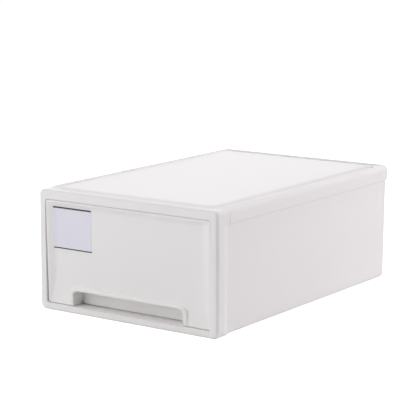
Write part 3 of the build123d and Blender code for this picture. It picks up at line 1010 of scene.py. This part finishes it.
    def add_hook(self, work: Patchwork, x: float) -> None:
        """Adds a hook over the tray's front wall: a bent bar, its section carried across its width.

        Args:
            work: the patchwork it goes into.
            x: the hook's middle across the drawer.
        """
        bar_high, bar_low, tip = (self.high - drop for drop in self.hook_drops)
        root, leg = self.hook_reach
        back, nip = leg + self.wall, self.hook_chamfer
        section = np.array([(root, bar_low), (leg, bar_low), (leg, tip), (leg + nip, tip - nip),
                            (back - nip, tip - nip), (back, tip), (back, bar_high - nip),
                            (back - nip, bar_high), (root, bar_high)])
        self.add_bar(work, section, (x - self.hook_half, x + self.hook_half), fold=5)

    def dress(self, obj: Piece) -> None:
        """Finish, body and the node it stands for."""
        obj.data.materials.append(WHITE.material())
        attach(obj, Body.DRAWER.value)
        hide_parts("drawer_front")


@dataclass
class LabelCard:
    """Film stuck to the drawer front's field, following its slope at the left."""

    front: DrawerFront
    left: float
    right: float
    low: float
    high: float
    thickness: float = 0.35
    draw_left: float = 1.2
    border: float = 0.004
    press: float = 0.02

    @classmethod
    def from_frame(cls, front: DrawerFront) -> "LabelCard":
        """Takes the card's place from the CAD node that it stands for.

        Args:
            front: the drawer front that carries it.

        Returns:
            A card as wide and tall as the node, a little to its left.
        """
        low, high = in_mm(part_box("label_card"))
        return cls(front, low[0] - cls.draw_left, high[0] - cls.draw_left, low[2], high[2])

    def build(self) -> Piece:
        """Outer and inner faces follow the field; the edge is the outer face's border, pressed down.

        Returns:
            The label's object, with a map of its own across and up.
        """
        u, v = (np.concatenate([[0.0], np.linspace(self.border, 1.0 - self.border, count), [1.0]])
                for count in (41, 31))
        uu, vv = np.meshgrid(u, v)
        x = self.left + uu * (self.right - self.left)
        z = self.low + vv * (self.high - self.low)
        inside = np.minimum(np.minimum(uu, 1.0 - uu), np.minimum(vv, 1.0 - vv)) / self.border
        lift = self.thickness * np.clip(inside, 0.0, 1.0)
        depth = self.front.surface(x, z) - self.press
        flat = np.stack([x, z], axis=-1)
        work = Patchwork()
        work.add(self.front.place(flat, depth - lift))
        work.add(self.front.place(flat, depth))
        obj = work.piece("label_film_card", sharp_angle=30.0)
        self.add_map(obj)
        return obj

    def add_map(self, obj: Piece) -> None:
        """Writes each corner's share of the card's width and height as a UV map."""
        mesh = obj.data
        places = np.empty(len(mesh.vertices) * 3)
        mesh.vertices.foreach_get("co", places)
        corners = np.empty(len(mesh.loops), dtype=np.int64)
        mesh.loops.foreach_get("vertex_index", corners)
        places = places.reshape(-1, 3)[corners] / MM
        shares = np.stack([(places[:, 0] - self.left) / (self.right - self.left),
                           (places[:, 2] - self.low) / (self.high - self.low)], axis=1)
        layer = mesh.uv_layers.new(name=CARD_MAP)
        layer.data.foreach_set("uv", shares.reshape(-1))

    def dress(self, obj: Piece) -> None:
        """Finish, body and the node it stands for."""
        obj.data.materials.append(FILM.material())
        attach(obj, Body.DRAWER.value)
        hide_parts("label_card")


@dataclass
class RimCrest:
    """Crest of the cover's rim: a ridge along the sides and the back that sinks away towards the front."""

    half: float
    front: float
    back: float
    high: float
    corner: float = 13.0
    drop: float = 0.1
    rise: float = 8.9
    reach: float = 8.0
    inner_flank: tuple[tuple[float, float], ...] = ((8.5, 0.08), (9.0, 0.4), (9.5, 1.2), (10.0, 2.5))
    under: tuple[tuple[float, float], ...] = ((6.0, 3.3), (2.0, 5.5))
    fade_start: float = 6.0
    fade_run: float = 26.0
    fade_drop: float = 2.6
    fade_inset: float = 0.5

    @classmethod
    def from_frame(cls) -> "RimCrest":
        """Takes the case's outline from the CAD's bounds.

        Returns:
            A crest that stays inside those bounds.
        """
        return cls(CASE_HIGH[0], CASE_LOW[1], CASE_HIGH[1], CASE_HIGH[2])

    def section(self) -> Array:
        """The ridge cut across: a quarter of an oval from the side up, a steep inner flank, and a low back.

        Returns:
            Corners once round, each the distance in from the side and the height.
        """
        turn_by = np.linspace(0.0, math.pi / 2, 14)
        crest = self.high - self.drop
        oval = np.stack([self.reach * (1.0 - np.cos(turn_by)),
                         crest - self.rise * (1.0 - np.sin(turn_by))], axis=1)
        rest = np.array(self.inner_flank + self.under)
        rest[:, 1] = crest - rest[:, 1]
        return np.concatenate([oval, rest])

    def path(self) -> tuple[Array, Array]:
        """The cover's outline from the front right round the back to the front left.

        Returns:
            Places in plan, and the directions that point inwards there.
        """
        bend = self.back - self.corner
        start = self.front + self.fade_start
        run = spaced((start, start + self.fade_run, 14), (start + self.fade_run, bend, 12))
        side = np.stack([np.full(len(run), self.half), run], axis=1)
        angle = np.linspace(0.0, math.pi / 2, 13)[1:]
        out = np.stack([np.cos(angle), np.sin(angle)], axis=1)
        arc = np.array([self.half - self.corner, bend]) + self.corner * out
        places = np.concatenate([side, arc])
        inwards = np.concatenate([np.broadcast_to([-1.0, 0.0], side.shape), -out])
        mirror = np.array([-1.0, 1.0])
        return tuple(np.concatenate([half, half[::-1] * mirror]) for half in (places, inwards))

    def build(self) -> Piece:
        """Carries the section along the path; near the front it moves in and down, into the rim.

        Returns:
            The crest's object.
        """
        places, inwards = self.path()
        section = self.section()
        fade = 1.0 - ease((places[:, 1] - self.front - self.fade_start) / self.fade_run)
        inset = section[None, :, 0] + self.fade_inset * fade[:, None]
        plan = places[:, None, :] + inwards[:, None, :] * inset[..., None]
        height = section[None, :, 1] - self.fade_drop * fade[:, None]
        grid = np.concatenate([plan, height[..., None]], axis=2)
        work = Patchwork()
        work.add(grid, closed=True)
        fold = len(section) // 2
        for end in (grid[0], grid[-1]):
            work.add(np.stack([end[:fold], end[:fold - 1:-1]]))
        return work.piece("rim_crest", sharp_angle=50.0)

    def dress(self, obj: Piece) -> None:
        """Finish and body; it lies over the CAD's own rim."""
        obj.data.materials.append(WHITE.material())
        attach(obj, Body.CASE.value)


# Studio

ROSE: Colour = (1.0, 0.967, 0.993)
COOL: Colour = (0.995, 0.988, 1.0)


@dataclass(frozen=True)
class SoftBox:
    """A square soft light, aimed at the case."""

    name: str
    place: Vec
    power: float
    tint: Colour
    size: float = 1.6
    aim: Vec = (0.0, 0.0, 0.08)

    def build(self) -> None:
        """Adds the light to the scene."""
        data = bpy.data.lights.new(self.name, "AREA")
        data.shape = "SQUARE"
        data.size = self.size
        data.energy = self.power
        data.color = self.tint
        obj = bpy.data.objects.new(self.name, data)
        bpy.context.scene.collection.objects.link(obj)
        turn(obj, self.place, self.aim)


def turn(obj: Piece, place: Vec, aim: Vec) -> None:
    """Puts a light or camera at a place and points it at another.

    Args:
        obj: the light or camera.
        place: where it goes.
        aim: what it looks at.
    """
    obj.location = place
    obj.rotation_euler = (Vector(aim) - Vector(place)).to_track_quat("-Z", "Y").to_euler()


@dataclass
class Studio:
    """Pale floor, soft light and the photograph's camera."""

    floor_radius: float = 40.0
    floor_tone: float = 0.93
    floor_roughness: float = 0.9
    azimuth: float = 35.22
    elevation: float = 10.26
    place: Vec = (1.322942, -1.930034, 0.560590)
    lens: float = 146.6
    sensor: float = 36.0
    ambient: float = 0.01
    lights: tuple[SoftBox, ...] = (
        SoftBox("left_box", (-2.155, -1.005, 0.853), 8.7, COOL),
        SoftBox("front_box", (-1.005, -2.155, 0.853), 18.6, COOL),
        SoftBox("high_front_box", (0.217, -1.231, 2.245), 16.3, COOL),
        SoftBox("right_box", (2.155, 1.005, 0.853), 19.4, ROSE),
        SoftBox("rear_right_box", (0.958, 1.659, 1.687), 23.2, ROSE),
        SoftBox("rear_left_box", (-1.392, 1.659, 1.33), 19.5, COOL),
        SoftBox("top_box", (0.0, 0.0, 2.5), 7.2, COOL, size=2.4),
    )

    def build(self) -> None:
        """Floor, world, lights and camera."""
        bpy.context.scene.view_settings.view_transform = "Standard"
        self.build_floor()
        world = bpy.data.worlds.new("studio_air")
        world.use_nodes = True
        air = world.node_tree.nodes["Background"]
        feed((1.0, 1.0, 1.0, 1.0), air.inputs["Color"])
        feed(self.ambient, air.inputs["Strength"])
        bpy.context.scene.world = world
        for light in self.lights:
            light.build()
        self.build_camera()

    def build_floor(self) -> None:
        """A disc: rings of growing radius about the case."""
        radius = np.concatenate([[0.0], np.geomspace(0.3, self.floor_radius, 12)]) / MM
        angle = np.linspace(0.0, 2.0 * math.pi, 64, endpoint=False)
        grid = np.stack([radius[:, None] * np.cos(angle), radius[:, None] * np.sin(angle),
                         np.zeros((len(radius), len(angle)))], axis=-1)
        work = Patchwork()
        work.add(grid, closed=True)
        floor = work.piece("pale_floor")
        if floor.data.polygons[0].normal.z < 0:
            floor.data.flip_normals()
        material = bpy.data.materials.new("pale_floor")
        material.use_nodes = True
        tree = material.node_tree
        shader = tree.nodes["Principled BSDF"]
        feed((self.floor_tone, self.floor_tone, self.floor_tone, 1.0), shader.inputs["Base Color"])
        feed(self.floor_roughness, shader.inputs["Roughness"])
        feed(0.0, shader.inputs["Specular IOR Level"])
        sight = tree.nodes.new("ShaderNodeLightPath")
        feed(sight.outputs["Is Camera Ray"], shader.inputs["Emission Strength"])
        floor.data.materials.append(material)

    def build_camera(self) -> None:
        """The photograph's camera: long lens, a little above the top, to the right of the front."""
        a, e = math.radians(self.azimuth), math.radians(self.elevation)
        back = Vector((math.sin(a) * math.cos(e), -math.cos(a) * math.cos(e), math.sin(e)))
        data = bpy.data.cameras.new("photo_camera")
        data.lens = self.lens
        data.sensor_width = self.sensor
        camera = bpy.data.objects.new("photo_camera", data)
        bpy.context.scene.collection.objects.link(camera)
        turn(camera, self.place, tuple(Vector(self.place) - back))
        bpy.context.scene.camera = camera


def write_sizes() -> None:
    """Updates the view layer."""
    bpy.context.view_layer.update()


def main() -> None:
    """Builds the pieces in order and reports each."""
    logging.basicConfig(level=logging.INFO, format="%(name)s: %(message)s")
    Studio().build()
    front = DrawerFront.from_frame()
    for piece in (front, LabelCard.from_frame(front), RimCrest.from_frame()):
        obj = piece.build()
        piece.dress(obj)
        LOG.info("%s: %d faces", obj.name, len(obj.data.polygons))
    dress_nodes(FRAME_WHITE, "front_frame")
    dress_nodes(TUB_WHITE, "case_tub")
    dress_nodes(COVER_WHITE, "top_cover")
    dress_nodes(NATURAL, "drawer_tray")
    dress_nodes(SLICK, "runner_left", "runner_right", "drawer_stop_left", "drawer_stop_right")
    dress_nodes(PAD, "rear_foot_left", "rear_foot_right")
    write_sizes()


if __name__ == "__main__":
    main()
